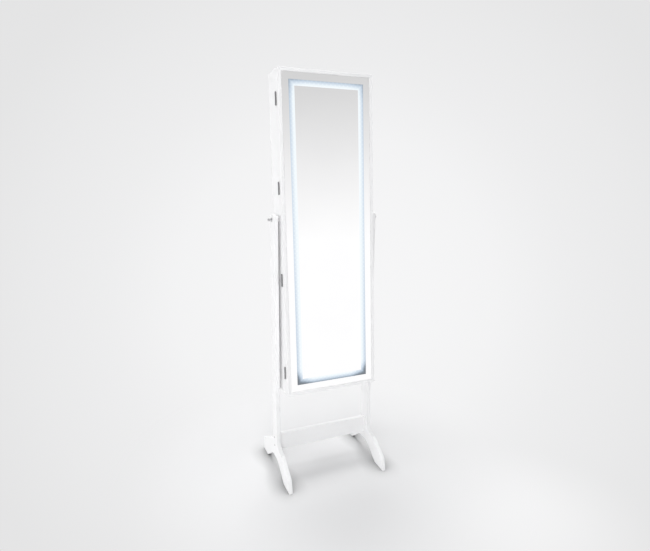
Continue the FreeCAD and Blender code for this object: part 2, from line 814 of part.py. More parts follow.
def make_hinges():
    pins = in_cabinet("hinge_pins")
    for number, level in enumerate(HINGE_LEVELS, start=1):
        case_low = f"({CASE_FRONT} + leaf_sink - leaf_thickness)"
        make_leaf(f"case_hinge_leaf_{number}", level, 0, 3, case_low, f"{CASE_FRONT} + leaf_sink")
        door_high = f"({DOOR_BACK} - leaf_sink + leaf_thickness)"
        make_leaf(f"door_hinge_leaf_{number}", level, 1, 2, f"{DOOR_BACK} - leaf_sink", door_high)
        raise_pad(pins, "XY", f"{level} - hinge_length / 2 - pin_overhang",
                  f"{level} + hinge_length / 2 + pin_overhang",
                  circles([(HINGE_X, HINGE_Y)], "pin_radius"))


def make_catch():
    """Two magnets in the door's free stile and the steel plates that they meet."""
    magnets = in_cabinet("door_magnets")
    raise_pad(magnets, "XZ", f"{DOOR_BACK} - magnet_length", DOOR_BACK,
              circles(catch_places(), "magnet_radius"))
    plates = in_cabinet("catch_plates")
    raise_pad(plates, "XZ", CASE_FRONT, f"{CASE_FRONT} + plate_thickness",
              circles(catch_places(), "plate_radius"))


# ---- door --------------------------------------------------------------------------------

def door_ring(inset):
    """The corners of a rectangle that lies inside the door's outline by an inset."""
    right = f"({HALF_WIDTH} - ({inset}))"
    high = f"(cabinet_rise - ({inset}))"
    low = f"-(cabinet_drop - ({inset}))"
    return [(f"-{right}", low), (right, low), (right, high), (f"-{right}", high)]


def make_door_frame():
    """Four mitred lengths of one section, grooved for the backing board and the back panel."""
    outer = door_ring("0")
    inner = door_ring("frame_width")
    names = ("door_bottom_rail", "door_right_stile", "door_top_rail", "door_left_stile")
    for number, name in enumerate(names):
        following = (number + 1) % 4
        body = in_cabinet(name)
        mitred = [outer[number], outer[following], inner[following], inner[number]]
        raise_pad(body, "XZ", DOOR_FRONT, DOOR_BACK, outline(mitred))
        for front, back in ((GLASS_BACK, BACKING_BACK), (PANEL_FRONT, PANEL_BACK)):
            cut_pocket(body, "XZ", front, back, outline(door_ring("frame_width - groove_depth")))
        if name == "door_left_stile":
            for level in HINGE_LEVELS:
                cut_pocket(body, "XZ", f"{DOOR_BACK} - leaf_sink", DOOR_BACK, leaf_mortise(level))
        if name == "door_right_stile":
            cut_pocket(body, "XZ", f"{DOOR_BACK} - magnet_length", DOOR_BACK,
                       circles(catch_places(), "magnet_radius + fit_gap / 2"))


def make_mirror():
    """One sheet of mirror glass whose silvering is taken off in a band near the edge."""
    glass = in_cabinet("mirror_glass")
    raise_pad(glass, "XZ", GLASS_FRONT, GLASS_BACK, outline(door_ring("frame_width + seat_gap")))
    cut_pocket(glass, "XZ", f"{GLASS_BACK} - etch_depth", GLASS_BACK, band_outline("0"))


def band_outline(clearance):
    """The lit band, between two rectangles, drawn in by a clearance on both edges."""
    edge = f"frame_width + seat_gap + band_inset + {clearance}"
    far = f"frame_width + seat_gap + band_inset + band_width - {clearance}"

    def draw(sketch):
        draw_outline(sketch, door_ring(edge))
        draw_outline(sketch, door_ring(far))
    return draw


def band_strips(body, front, back, edge, far):
    """Four mitred strips round the band, between two insets from the door's outline."""
    outer = door_ring(edge)
    inner = door_ring(far)
    for number in range(4):
        following = (number + 1) % 4
        corners = [outer[number], outer[following], inner[following], inner[number]]
        raise_pad(body, "XZ", front, back, outline(corners))


def make_light():
    """Backing board with a channel behind the band, its diffuser strips and its lamps."""
    backing = in_cabinet("mirror_backing_board")
    raise_pad(backing, "XZ", GLASS_BACK, BACKING_BACK,
              outline(door_ring("frame_width - groove_depth + fit_gap")))
    cut_pocket(backing, "XZ", GLASS_BACK, CHANNEL_FLOOR, band_outline("0"))

    diffuser = in_cabinet("light_diffuser")
    raise_pad(diffuser, "XZ", GLASS_BACK, f"{GLASS_BACK} + diffuser_thickness", band_outline("fit_gap"))

    lamps = in_cabinet("led_strip")
    middle = "frame_width + seat_gap + band_inset + band_width / 2"
    outer_edge = f"{middle} - led_width / 2"
    inner_edge = f"{middle} + led_width / 2"

    def draw(sketch):
        draw_outline(sketch, door_ring(outer_edge))
        draw_outline(sketch, door_ring(inner_edge))
    raise_pad(lamps, "XZ", f"{CHANNEL_FLOOR} - led_thickness", CHANNEL_FLOOR, draw)


def make_door_inside():
    """Back panel of the door with its fabric, and the battery box of the light."""
    panel = in_cabinet("door_back_panel")
    raise_pad(panel, "XZ", PANEL_FRONT, PANEL_BACK,
              outline(door_ring("frame_width - groove_depth + fit_gap")))
    liner = in_cabinet("door_liner")
    raise_pad(liner, "XZ", PANEL_BACK, LINER_BACK, outline(door_ring("frame_width + fit_gap")))

    box = in_cabinet("battery_box")
    rear = f"({LINER_BACK} + battery_depth)"
    low = "(battery_top - battery_height)"
    pad = raise_pad(box, "XZ", LINER_BACK, rear,
                    rectangle("-battery_width / 2", "battery_width / 2", low, "battery_top"))
    round_edges(box, pad, corner_edges(pad, pad.Profile[0], [0, 1, 2, 3]), "battery_round")
    cut_pocket(box, "XZ", f"{rear} - lid_thickness", rear,
               rectangle("-battery_width / 2 + battery_wall", "battery_width / 2 - battery_wall",
                         f"{low} + battery_wall", "battery_top - battery_wall"))
    lid = in_cabinet("battery_lid")
    rim = "(battery_wall + fit_gap)"
    raise_pad(lid, "XZ", f"{rear} - lid_thickness", rear,
              rectangle(f"-battery_width / 2 + {rim}", f"battery_width / 2 - {rim}",
                        f"{low} + {rim}", f"battery_top - {rim}"))


# ---- the whole cabinet -------------------------------------------------------------------

for side_name in SIDES:
    make_foot(side_name)
    make_post(side_name)
make_post_joints()
make_apron()
for side_name in SIDES:
    make_knob(side_name)
make_pivot_seats()

for side_name in SIDES:
    make_case_side(side_name)
make_case_end("case_top", "cabinet_rise", INNER_TOP, f"{INNER_TOP} + back_rebate")
make_case_end("case_bottom", "-cabinet_drop", INNER_BOTTOM, f"{INNER_BOTTOM} - back_rebate")
make_case_back()
for shelf_name, shelf_level in SHELVES.items():
    make_shelf(shelf_name, shelf_level)
make_hook_rail()
make_earring_board()
make_ring_cushion()
make_hinges()
make_catch()

make_door_frame()
make_mirror()
make_light()
make_door_inside()

doc.recompute()

# ---- checks and files --------------------------------------------------------------------

for item in doc.Objects:
    if "Invalid" in item.State or "Error" in item.State:
        raise RuntimeError(f"{item.Label} failed: {item.State}")
for body in bodies:
    if body.Shape.isNull() or not body.Shape.isValid() or body.Shape.Volume < 1:
        raise RuntimeError(f"{body.Label} has no sound shape")

os.makedirs("parts", exist_ok=True)
for body in bodies:
    body.Shape.exportStep(f"parts/{body.Label}.step")
    print(body.Label, len(body.Shape.Solids), round(body.Shape.Volume))
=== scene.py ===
import json
import math

import bmesh
import bpy
from mathutils import Matrix, Vector, noise


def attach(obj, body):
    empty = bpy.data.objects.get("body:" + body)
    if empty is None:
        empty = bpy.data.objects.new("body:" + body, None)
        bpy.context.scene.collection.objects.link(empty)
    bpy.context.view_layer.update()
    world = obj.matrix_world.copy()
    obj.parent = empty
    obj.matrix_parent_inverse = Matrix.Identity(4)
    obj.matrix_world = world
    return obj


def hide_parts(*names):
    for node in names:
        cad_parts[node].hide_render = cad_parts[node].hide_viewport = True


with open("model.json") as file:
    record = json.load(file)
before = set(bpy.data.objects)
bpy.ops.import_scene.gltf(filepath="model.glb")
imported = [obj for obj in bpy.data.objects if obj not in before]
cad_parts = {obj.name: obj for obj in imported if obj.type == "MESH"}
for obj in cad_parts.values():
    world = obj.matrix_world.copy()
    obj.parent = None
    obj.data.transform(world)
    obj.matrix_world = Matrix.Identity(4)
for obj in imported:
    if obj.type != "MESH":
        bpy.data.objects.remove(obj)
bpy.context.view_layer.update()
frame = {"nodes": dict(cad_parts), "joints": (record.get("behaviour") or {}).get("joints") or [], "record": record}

NODES = frame["nodes"]
JOINTS = {joint["name"]: joint for joint in frame["joints"]}

# The cabinet leans back between the posts.  Its own frame has its origin on the tilting axis.
PIVOT = Vector(JOINTS["cabinet_tilt"]["pos_m"])
SWING_AXIS = Vector(JOINTS["door_swing"]["axis"])
TILT = math.atan2(-SWING_AXIS.y, -SWING_AXIS.z)
CABINET = Matrix.Translation(PIVOT) @ Matrix.Rotation(-TILT, 4, "X")
TO_CABINET = CABINET.inverted()

# Directions in the cabinet's own frame.
FRONTWARD = Vector((0, -1, 0))
BACKWARD = Vector((0, 1, 0))
UPWARD = Vector((0, 0, 1))


def cabinet_points(node):
    """A node's corners in the cabinet's own frame."""
    return [TO_CABINET @ vertex.co for vertex in NODES[node].data.vertices]


def cabinet_box(node):
    """A node's lowest and highest corner in the cabinet's own frame."""
    points = cabinet_points(node)
    low = Vector([min(point[axis] for point in points) for axis in range(3)])
    high = Vector([max(point[axis] for point in points) for axis in range(3)])
    return low, high


# ---- camera ------------------------------------------------------------------------------

# The width of the frame and the focal length, in the photograph's pixels.
IMAGE_WIDTH = 650
FOCAL_PIXELS = 490.7
FILM_WIDTH = 36
CAMERA_PLACE = Vector((-0.725, -1.7471, 1.2185))
CAMERA_YAW = math.radians(22.617)
CAMERA_PITCH = math.radians(12.34)
CAMERA_ROLL = math.radians(0.51)


def make_camera():
    """The photograph's view: from the front left, over the object's middle, slightly down."""
    forward = Vector((math.sin(CAMERA_YAW) * math.cos(CAMERA_PITCH),
                      math.cos(CAMERA_YAW) * math.cos(CAMERA_PITCH),
                      -math.sin(CAMERA_PITCH)))
    level_right = Vector((math.cos(CAMERA_YAW), -math.sin(CAMERA_YAW), 0))
    level_up = level_right.cross(forward)
    right = level_right * math.cos(CAMERA_ROLL) + level_up * math.sin(CAMERA_ROLL)
    up = level_up * math.cos(CAMERA_ROLL) - level_right * math.sin(CAMERA_ROLL)
    data = bpy.data.cameras.new("camera")
    data.sensor_width = FILM_WIDTH
    data.lens = FOCAL_PIXELS / IMAGE_WIDTH * FILM_WIDTH
    camera = bpy.data.objects.new("camera", data)
    turn = Matrix((right, up, -forward)).transposed().to_4x4()
    camera.matrix_world = Matrix.Translation(CAMERA_PLACE) @ turn
    bpy.context.scene.collection.objects.link(camera)
    bpy.context.scene.camera = camera


# ---- node helpers ------------------------------------------------------------------------

# Vector operations that give a number.
NUMBER_OPERATIONS = ("DISTANCE", "DOT_PRODUCT", "LENGTH")


class Shader:
    """A material or world under construction."""

    def __init__(self, owner):
        owner.use_nodes = True
        self.owner = owner
        self.tree = owner.node_tree
        self.tree.nodes.clear()

    def feed(self, socket, value):
        """Gives a socket a plain value, or what another node puts out."""
        if isinstance(value, bpy.types.NodeSocket):
            self.tree.links.new(value, socket)
        else:
            socket.default_value = value

    def add(self, kind, **inputs):
        """A new node.  Each input goes by its own name, with underscores for its spaces."""
        node = self.tree.nodes.new(kind)
        for name, value in inputs.items():
            self.feed(node.inputs[name.replace("_", " ")], value)
        return node

    def maths(self, operation, first, second=0.0, clamp=False):
        node = self.tree.nodes.new("ShaderNodeMath")
        node.operation = operation
        node.use_clamp = clamp
        self.feed(node.inputs[0], first)
        self.feed(node.inputs[1], second)
        return node.outputs[0]

    def vector_maths(self, operation, first, second=(0, 0, 0)):
        node = self.tree.nodes.new("ShaderNodeVectorMath")
        node.operation = operation
        self.feed(node.inputs[0], first)
        self.feed(node.inputs[1], second)
        return node.outputs["Value" if operation in NUMBER_OPERATIONS else "Vector"]

    def coordinates(self, kind):
        return self.tree.nodes.new("ShaderNodeTexCoord").outputs[kind]

    def position(self):
        """The place in the scene, in metres."""
        return self.tree.nodes.new("ShaderNodeNewGeometry").outputs["Position"]

    def ray(self, kind):
        """1 for the rays of that kind and 0 for the others."""
        return self.tree.nodes.new("ShaderNodeLightPath").outputs[kind]

    def split(self, vector):
        return self.add("ShaderNodeSeparateXYZ", Vector=vector).outputs

    def noise(self, scale, detail=3.0, roughness=0.5, stretch=(1, 1, 1)):
        """Clouds around 0.5 over the piece, about as many to a metre as the scale says."""
        place = self.add("ShaderNodeMapping", Vector=self.coordinates("Object"), Scale=stretch)
        node = self.add("ShaderNodeTexNoise", Vector=place.outputs[0], Scale=scale,
                        Detail=detail, Roughness=roughness)
        return node.outputs["Fac"]

    def ramp(self, value, stops):
        """The colour at a value between 0 and 1, from (value, colour) stops."""
        node = self.tree.nodes.new("ShaderNodeValToRGB")
        elements = node.color_ramp.elements
        while len(elements) < len(stops):
            elements.new(0.5)
        for element, (place, colour) in zip(elements, stops):
            element.position = place
            element.color = tuple(colour) + (1,)
        self.feed(node.inputs[0], value)
        return node.outputs[0]

    def mottle(self, clouds, dark, light, edge=0.3):
        """Two tones that follow the clouds, with the dark one alone up to the edge."""
        return self.ramp(clouds, [(edge, dark), (1 - edge, light)])

    def spread(self, value, low, high):
        """Carries 0..1 over to low..high."""
        return self.add("ShaderNodeMapRange", Value=value, To_Min=low, To_Max=high).outputs[0]

    def share(self, value, low, high):
        """Carries low..high over to 0..1."""
        return self.add("ShaderNodeMapRange", Value=value, From_Min=low, From_Max=high).outputs[0]

    def ease(self, value, low, high, first=0.0, last=1.0):
        """Carries low..high over to first..last with a soft start and end."""
        node = self.add("ShaderNodeMapRange", Value=value, From_Min=low, From_Max=high,
                        To_Min=first, To_Max=last)
        node.interpolation_type = "SMOOTHSTEP"
        return node.outputs[0]

    def bump(self, height, strength, distance):
        return self.add("ShaderNodeBump", Height=height, Strength=strength,
                        Distance=distance).outputs[0]

    def mix(self, share, first, second):
        """A blend of two surfaces, the first alone at a share of 0."""
        node = self.add("ShaderNodeMixShader", Fac=share)
        self.feed(node.inputs[1], first)
        self.feed(node.inputs[2], second)
        return node.outputs[0]

    def finish(self, surface):
        """Puts the surface out and gives back the material or world."""
        kind = "ShaderNodeOutputMaterial"
        if isinstance(self.owner, bpy.types.World):
            kind = "ShaderNodeOutputWorld"
        self.add(kind, Surface=surface)
        return self.owner

    def finish_body(self, **inputs):
        """Puts out a solid body's surface with these inputs."""
        return self.finish(self.add("ShaderNodeBsdfPrincipled", **inputs).outputs[0])


def new_shader(name):
    return Shader(bpy.data.materials.new(name))


def shade(colour, factor):
    """The colour made darker or lighter, up to white."""
    return tuple(min(1.0, part * factor) for part in colour)


def grey(level):
    return (level, level, level)


# ---- materials ---------------------------------------------------------------------------

LACQUER_WHITE = (0.90, 0.90, 0.905)
DARK_METAL = (0.34, 0.34, 0.35)
BRIGHT_METAL = (0.72, 0.72, 0.73)
KNOB_METAL = (0.66, 0.66, 0.67)
FELT_GREY = (0.43, 0.42, 0.43)
PLASTIC_WHITE = (0.86, 0.86, 0.87)
BOARD_BROWN = (0.42, 0.29, 0.18)
COOL_LIGHT = (0.9, 0.95, 1.0)
SILVER_FILMED = (0.965, 0.962, 0.968)
SILVER_CLEAR = (0.98, 0.978, 0.983)
GLASS_DARK = (0.52, 0.60, 0.60)
GLASS_LIGHT = (0.66, 0.74, 0.74)

# The lit band's colours as it fades, from its edge at the mirror's silver outwards.
BAND_GLOW = (
    (0.0, (0.89, 0.94, 0.965)),
    (0.10, (0.82, 0.89, 0.93)),
    (0.21, (0.69, 0.77, 0.85)),
    (0.40, (0.54, 0.63, 0.73)),
    (0.52, (0.43, 0.51, 0.60)),
    (0.75, (0.22, 0.27, 0.33)),
    (1.0, (0.16, 0.18, 0.205)),
)
# How far along them the band gets at its outer edge, by the share of the mirror's height.
BAND_DIM = ((0.0, 0.76), (0.03, 0.50), (0.45, 0.32), (0.75, 0.36), (1.0, 0.54))
BAND_BODY = (0.03, 0.033, 0.036, 1)
# How it fades across, and how far the frost's grain frays that, in band widths.
FADE_POWER = 1.5
FROST_FRAY = 0.06
# The band's corners fade further: how far that reaches, in band widths, how it falls off, and
# how much it adds at the lower and at the upper corners.
CORNER_REACH = 3.2
CORNER_POWER = 1.3
CORNER_DIM = (0.95, 0.32)
# The spacing of the lamps behind the strip, and how much each one brightens it.
LAMP_PITCH = 0.0166
LAMP_SHOW = 0.06


def lacquer_material(name, colour):
    """Sprayed satin lacquer: faint orange peel, faint clouding, slightly uneven gloss."""
    shader = new_shader(name)
    tone = shader.mottle(shader.noise(2.6, detail=2.0), shade(colour, 0.992), colour)
    gloss = shader.spread(shader.noise(38.0, detail=4.0), 0.30, 0.42)
    peel = shader.bump(shader.noise(420.0, detail=2.0), strength=0.04, distance=0.0002)
    return shader.finish_body(Base_Color=tone, Roughness=gloss, Normal=peel,
                              Coat_Weight=0.15, Coat_Roughness=0.2)


def metal_material(name, colour, rough):
    """Fine brushed metal with faint smudges."""
    shader = new_shader(name)
    brushed = shader.noise(900.0, stretch=(0.05, 1, 1))
    tone = shader.mottle(shader.noise(55.0, detail=4.0), shade(colour, 0.86), colour)
    gloss = shader.spread(brushed, rough * 0.8, rough * 1.25)
    grooves = shader.bump(brushed, strength=0.08, distance=0.0002)
    return shader.finish_body(Base_Color=tone, Roughness=gloss, Metallic=1.0, Normal=grooves)


def felt_material(name, colour):
    """Short flocked pile: mottled nap, soft sheen, fine bump."""
    shader = new_shader(name)
    nap = shader.noise(260.0, detail=5.0, roughness=0.7)
    brushed = shader.noise(14.0)
    mixed = shader.maths("ADD", shader.maths("MULTIPLY", nap, 0.8),
                         shader.maths("MULTIPLY", brushed, 0.2))
    tone = shader.mottle(mixed, shade(colour, 0.8), shade(colour, 1.08), edge=0.35)
    pile = shader.bump(nap, strength=0.5, distance=0.0008)
    return shader.finish_body(Base_Color=tone, Roughness=0.95, Normal=pile,
                              Sheen_Weight=0.4, Sheen_Roughness=0.5)


def plastic_material(name, colour, rough):
    """Moulded plastic with a fine spark-eroded grain."""
    shader = new_shader(name)
    grain = shader.noise(700.0, detail=2.0)
    tone = shader.mottle(shader.noise(9.0, detail=2.0), shade(colour, 0.97), colour)
    gloss = shader.spread(grain, rough * 0.85, rough * 1.15)
    pits = shader.bump(grain, strength=0.12, distance=0.0002)
    return shader.finish_body(Base_Color=tone, Roughness=gloss, Normal=pits)


def fibreboard_material(name, colour):
    """Raw fibreboard: fine mottled fibres."""
    shader = new_shader(name)
    fibres = shader.noise(320.0, detail=6.0, roughness=0.7, stretch=(1, 1, 0.4))
    tone = shader.mottle(fibres, shade(colour, 0.75), shade(colour, 1.15))
    fuzz = shader.bump(fibres, strength=0.3, distance=0.0004)
    return shader.finish_body(Base_Color=tone, Roughness=0.8, Normal=fuzz)


def glow_material(name, colour, strength):
    """Cloudy plastic that light comes through."""
    shader = new_shader(name)
    tone = shader.mottle(shader.noise(300.0, detail=2.0), shade(colour, 0.96), colour)
    return shader.finish_body(Base_Color=tone, Roughness=0.4, Emission_Color=tone,
                              Emission_Strength=strength)


def mirror_material():
    """Silvered glass with the faintest film on it."""
    shader = new_shader("mirror_silver")
    film = shader.noise(6.0, detail=4.0)
    tone = shader.mottle(film, SILVER_FILMED, SILVER_CLEAR)
    return shader.finish_body(Base_Color=tone, Roughness=shader.spread(film, 0.0, 0.012),
                              Metallic=1.0)


def glass_edge_material():
    """Ground edge and painted back of the glass sheet."""
    shader = new_shader("glass_edge")
    grind = shader.noise(600.0)
    tone = shader.mottle(grind, GLASS_DARK, GLASS_LIGHT)
    return shader.finish_body(Base_Color=tone, Roughness=shader.spread(grind, 0.2, 0.4))


def band_material(half_width, low, high, width):
    """Sandblasted band lit from the mirror's side: bright there, dim towards rim and corners."""
    shader = new_shader("light_band")
    place = shader.split(shader.coordinates("Object"))
    middle = (low + high) / 2

    def outside(value, limit):
        """How far a coordinate lies outside the mirror's field, in band widths."""
        beyond = shader.maths("SUBTRACT", shader.maths("ABSOLUTE", value), limit)
        return shader.maths("DIVIDE", beyond, width)

    def squared_gap(share):
        """The way from there to the band's outer edge, squared."""
        gap = shader.maths("SUBTRACT", 1.0, share)
        return shader.maths("MULTIPLY", gap, gap)

    across = outside(place["X"], half_width)
    up = outside(shader.maths("SUBTRACT", place["Z"], middle), (high - low) / 2)
    frost = shader.noise(500.0)
    fray = shader.maths("MULTIPLY", shader.maths("SUBTRACT", frost, 0.5), FROST_FRAY)
    reach = shader.maths("ADD", shader.maths("MAXIMUM", across, up), fray)
    height = shader.share(place["Z"], low, high)
    dim = shader.ramp(height, [(spot, grey(share)) for spot, share in BAND_DIM])
    to_corner = shader.maths("SQRT", shader.maths("ADD", squared_gap(across), squared_gap(up)))
    from_reach = shader.maths("DIVIDE", to_corner, CORNER_REACH)
    nearness = shader.maths("SUBTRACT", 1.0, from_reach, clamp=True)
    corner = shader.maths("MULTIPLY", shader.maths("POWER", nearness, CORNER_POWER),
                          shader.spread(height, *CORNER_DIM))
    faded = shader.maths("ADD", shader.maths("POWER", reach, FADE_POWER), corner)
    dots = shader.maths("MULTIPLY", lamp_dots(shader, place), LAMP_SHOW)
    glow = shader.ramp(shader.maths("SUBTRACT", shader.maths("MULTIPLY", faded, dim), dots),
                       BAND_GLOW)
    return shader.finish_body(Base_Color=BAND_BODY, Roughness=shader.spread(frost, 0.45, 0.6),
                              Specular_IOR_Level=0.25, Emission_Color=glow,
                              Emission_Strength=1.0)


def lamp_dots(shader, place):
    """The lamps behind the strip show as faint dots along it, 1 at a lamp and 0 between."""
    turns = 2 * math.pi / LAMP_PITCH
    along = shader.maths("COSINE", shader.maths("MULTIPLY", place["Z"], turns))
    across = shader.maths("COSINE", shader.maths("MULTIPLY", place["X"], turns))
    return shader.maths("MAXIMUM", shader.maths("MULTIPLY", along, across), 0.0)


MATERIALS = {
    "white_lacquer": lacquer_material("white_lacquer", LACQUER_WHITE),
    "dark_metal": metal_material("dark_metal", DARK_METAL, rough=0.36),
    "bright_metal": metal_material("bright_metal", BRIGHT_METAL, rough=0.24),
    "grey_felt": felt_material("grey_felt", FELT_GREY),
    "white_plastic": plastic_material("white_plastic", PLASTIC_WHITE, rough=0.38),
    "board_brown": fibreboard_material("board_brown", BOARD_BROWN),
    "diffuser": glow_material("diffuser", COOL_LIGHT, strength=0.6),
    "led": glow_material("led", COOL_LIGHT, strength=1.0),
    "mirror_silver": mirror_material(),
}


def dress_nodes():
    """Every carried-over node gets its slot's material, and the knobs a brighter metal."""
    slots = {part["node"]: part["material_slot"] for part in frame["record"]["subparts"]}
    for name, node in NODES.items():
        node.data.materials.clear()
        node.data.materials.append(MATERIALS[slots[name]])
    for name in ("left_knob", "right_knob"):
        metal = metal_material(name + "_metal", KNOB_METAL, rough=0.34)
        NODES[name].data.materials[0] = metal


# ---- mesh helpers ------------------------------------------------------------------------

def new_object(name, mesh, placement=Matrix.Identity(4)):
    piece = bpy.data.objects.new(name, mesh)
    bpy.context.scene.collection.objects.link(piece)
    piece.matrix_world = placement
    return piece


def mesh_from(build, name):
    """A mesh that build fills, with its joined faces turned outwards."""
    work = bmesh.new()
    build(work)
    bmesh.ops.recalc_face_normals(work, faces=work.faces)
    mesh = bpy.data.meshes.new(name)
    work.to_mesh(mesh)
    work.free()
    return mesh


def around(points):
    """Each point of a closed loop with the one that follows it."""
    return list(zip(points, points[1:] + points[:1]))


def join_loops(work, first, second):
    """A wall of faces between two closed loops of as many points."""
    faces = []
    for (start, end), (far_start, far_end) in zip(around(first), around(second)):
        faces.append(work.faces.new((start, end, far_end, far_start)))
    return faces


# ---- eased edges -------------------------------------------------------------------------

# The carried-over pieces are split along their sharp edges.  Points this near are joined again.
WELD_REACH = 0.00001
SHARP_ANGLE = math.radians(40)
# The width of the easing, and the pieces that have it.
EASED_EDGES = {
    0.0012: ("left_post", "right_post", "left_foot", "right_foot", "apron_board"),
    0.0007: ("case_left_side", "case_right_side", "case_top", "case_bottom", "door_top_rail",
             "door_bottom_rail", "door_left_stile", "door_right_stile"),
    0.0006: ("necklace_shelf", "ring_shelf", "upper_shelf", "lower_shelf", "hook_rail",
             "battery_box", "battery_lid", "case_back_panel"),
    0.0005: ("back_liner", "door_liner", "earring_board", "earring_battens"),
}


def ease_piece(piece, width):
    """Eases every sharp edge, as a sprayed board has it."""
    weld = piece.modifiers.new("weld", "WELD")
    weld.merge_threshold = WELD_REACH
    bevel = piece.modifiers.new("bevel", "BEVEL")
    bevel.width = width
    bevel.segments = 2
    bevel.limit_method = "ANGLE"
    bevel.angle_limit = SHARP_ANGLE
    bevel.harden_normals = True


def ease_edges():
    for width, names in EASED_EDGES.items():
        for name in names:
            ease_piece(NODES[name], width)


# ---- small fasteners ---------------------------------------------------------------------

HEAD_SIDES = 20
# Radius and height of the head's rings, as shares of the whole head's.
HEAD_RINGS = ((1.0, 0.0), (0.97, 0.45), (0.78, 1.0))
# The cross recess: shares of the head's radius, how it narrows, and its floor's height.
RECESS_ARM = 0.60
RECESS_HALF = 0.13
RECESS_TAPER = 0.7
RECESS_FLOOR = 0.15

LEAF_SCREW = {"radius": 0.0023, "height": 0.00012}
PANEL_SCREW = {"radius": 0.0033, "height": 0.0011}
BOARD_SCREW = {"radius": 0.0028, "height": 0.0010}

HINGE_COUNT = 4
# From the hinge pin's side to the flat part of a leaf, and where its screws are along it.
KNUCKLE_ROOM = 0.0016
LEAF_SHARES = (-0.33, 0.0, 0.33)
# A leaf's face stands this far out from the board that the leaf is let into.
LEAF_PROUD = 0.0002
PANEL_INSET = 0.006
PANEL_ROWS = 7
RAIL_INSET = 0.008
EARRING_SIDE_INSET = 0.0075
EARRING_END_INSET = 0.012


def screw_head(work, place, outward, radius, height):
    """A low head with a cross recess on a face that looks along outward."""
    turn = Matrix((UPWARD.cross(outward), UPWARD, outward)).transposed()

    def point(x, y, level):
        return work.verts.new(place + turn @ Vector((x, y, level)))

    def ring(reach, level):
        angles = [2 * math.pi * step / HEAD_SIDES for step in range(HEAD_SIDES)]
        return [point(reach * math.cos(angle), reach * math.sin(angle), level)
                for angle in angles]

    rings = [ring(radius * reach, height * level) for reach, level in HEAD_RINGS]
    for lower, upper in zip(rings, rings[1:]):
        join_loops(work, lower, upper)
    arm = radius * RECESS_ARM
    half = radius * RECESS_HALF
    cross = [(arm, -half), (arm, half), (half, half), (half, arm), (-half, arm), (-half, half),
             (-arm, half), (-arm, -half), (-half, -half), (-half, -arm), (half, -arm),
             (half, -half)]
    mouth = [point(x, y, height) for x, y in cross]
    floor = [point(x * RECESS_TAPER, y * RECESS_TAPER, height * RECESS_FLOOR) for x, y in cross]
    rim_edges = [work.edges.get(pair) for pair in around(rings[-1])]
    mouth_edges = [work.edges.new(pair) for pair in around(mouth)]
    bmesh.ops.triangle_fill(work, edges=rim_edges + mouth_edges, use_beauty=True)
    join_loops(work, mouth, floor)
    work.faces.new(floor)


def make_screws(name, body, spots, outward, radius, height):
    """Screws of one kind on one body, given by their places in the cabinet's frame."""
    material = "bright_metal"

    def build(work):
        for spot in spots:
            screw_head(work, Vector(spot), outward, radius, height)
    piece = new_object(name, mesh_from(build, name), CABINET)
    piece.data.materials.append(MATERIALS[material])
    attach(piece, body)


def leaf_spots(prefix, face_y):
    """Three screws down the middle of the flat part of each of the four leaves."""
    flat_start = cabinet_box("hinge_pins")[1].x + KNUCKLE_ROOM
    spots = []
    for number in range(1, HINGE_COUNT + 1):
        low, high = cabinet_box(f"{prefix}_hinge_leaf_{number}")
        middle = Vector(((flat_start + high.x) / 2, face_y, (low.z + high.z) / 2))
        spots += [middle + Vector((0, 0, share * (high.z - low.z))) for share in LEAF_SHARES]
    return spots


def make_hinge_screws():
    case_front = cabinet_box("case_left_side")[0].y
    door_back = cabinet_box("door_left_stile")[1].y
    make_screws("case_hinge_screws", "cabinet", leaf_spots("case", case_front - LEAF_PROUD),
                FRONTWARD, **LEAF_SCREW)
    make_screws("door_hinge_screws", "door", leaf_spots("door", door_back + LEAF_PROUD),
                BACKWARD, **LEAF_SCREW)


def make_back_panel_screws():
    """Screws down both sides of the back panel, with one more between them at each end."""
    low, high = cabinet_box("case_back_panel")
    left = low.x + PANEL_INSET
    right = high.x - PANEL_INSET
    length = high.z - low.z - 2 * PANEL_INSET
    last = PANEL_ROWS - 1
    spots = []
    for row in range(PANEL_ROWS):
        z = low.z + PANEL_INSET + length * row / last
        columns = (left, 0.0, right) if row in (0, last) else (left, right)
        spots += [(x, high.y, z) for x in columns]
    make_screws("back_panel_screws", "cabinet", spots, BACKWARD, **PANEL_SCREW)


def make_hook_rail_screws():
    low, high = cabinet_box("hook_rail")
    middle = (low.z + high.z) / 2
    spots = [(x, low.y, middle) for x in (low.x + RAIL_INSET, high.x - RAIL_INSET)]
    make_screws("hook_rail_screws", "cabinet", spots, FRONTWARD, **BOARD_SCREW)


def make_earring_board_screws():
    low, high = cabinet_box("earring_board")
    columns = (low.x + EARRING_SIDE_INSET, high.x - EARRING_SIDE_INSET)
    rows = (low.z + EARRING_END_INSET, high.z - EARRING_END_INSET)
    spots = [(x, low.y, z) for x in columns for z in rows]
    make_screws("earring_board_screws", "cabinet", spots, FRONTWARD, **BOARD_SCREW)


def make_fasteners():
    make_hinge_screws()
    make_back_panel_screws()
    make_hook_rail_screws()
    make_earring_board_screws()


# ---- battery lid -------------------------------------------------------------------------

RIB_COUNT = 6
RIB_PITCH = 0.0022
RIB_HALF = Vector((0.011, 0.0003, 0.0005))
RIB_START = 0.008
RIB_EASING = 0.00025


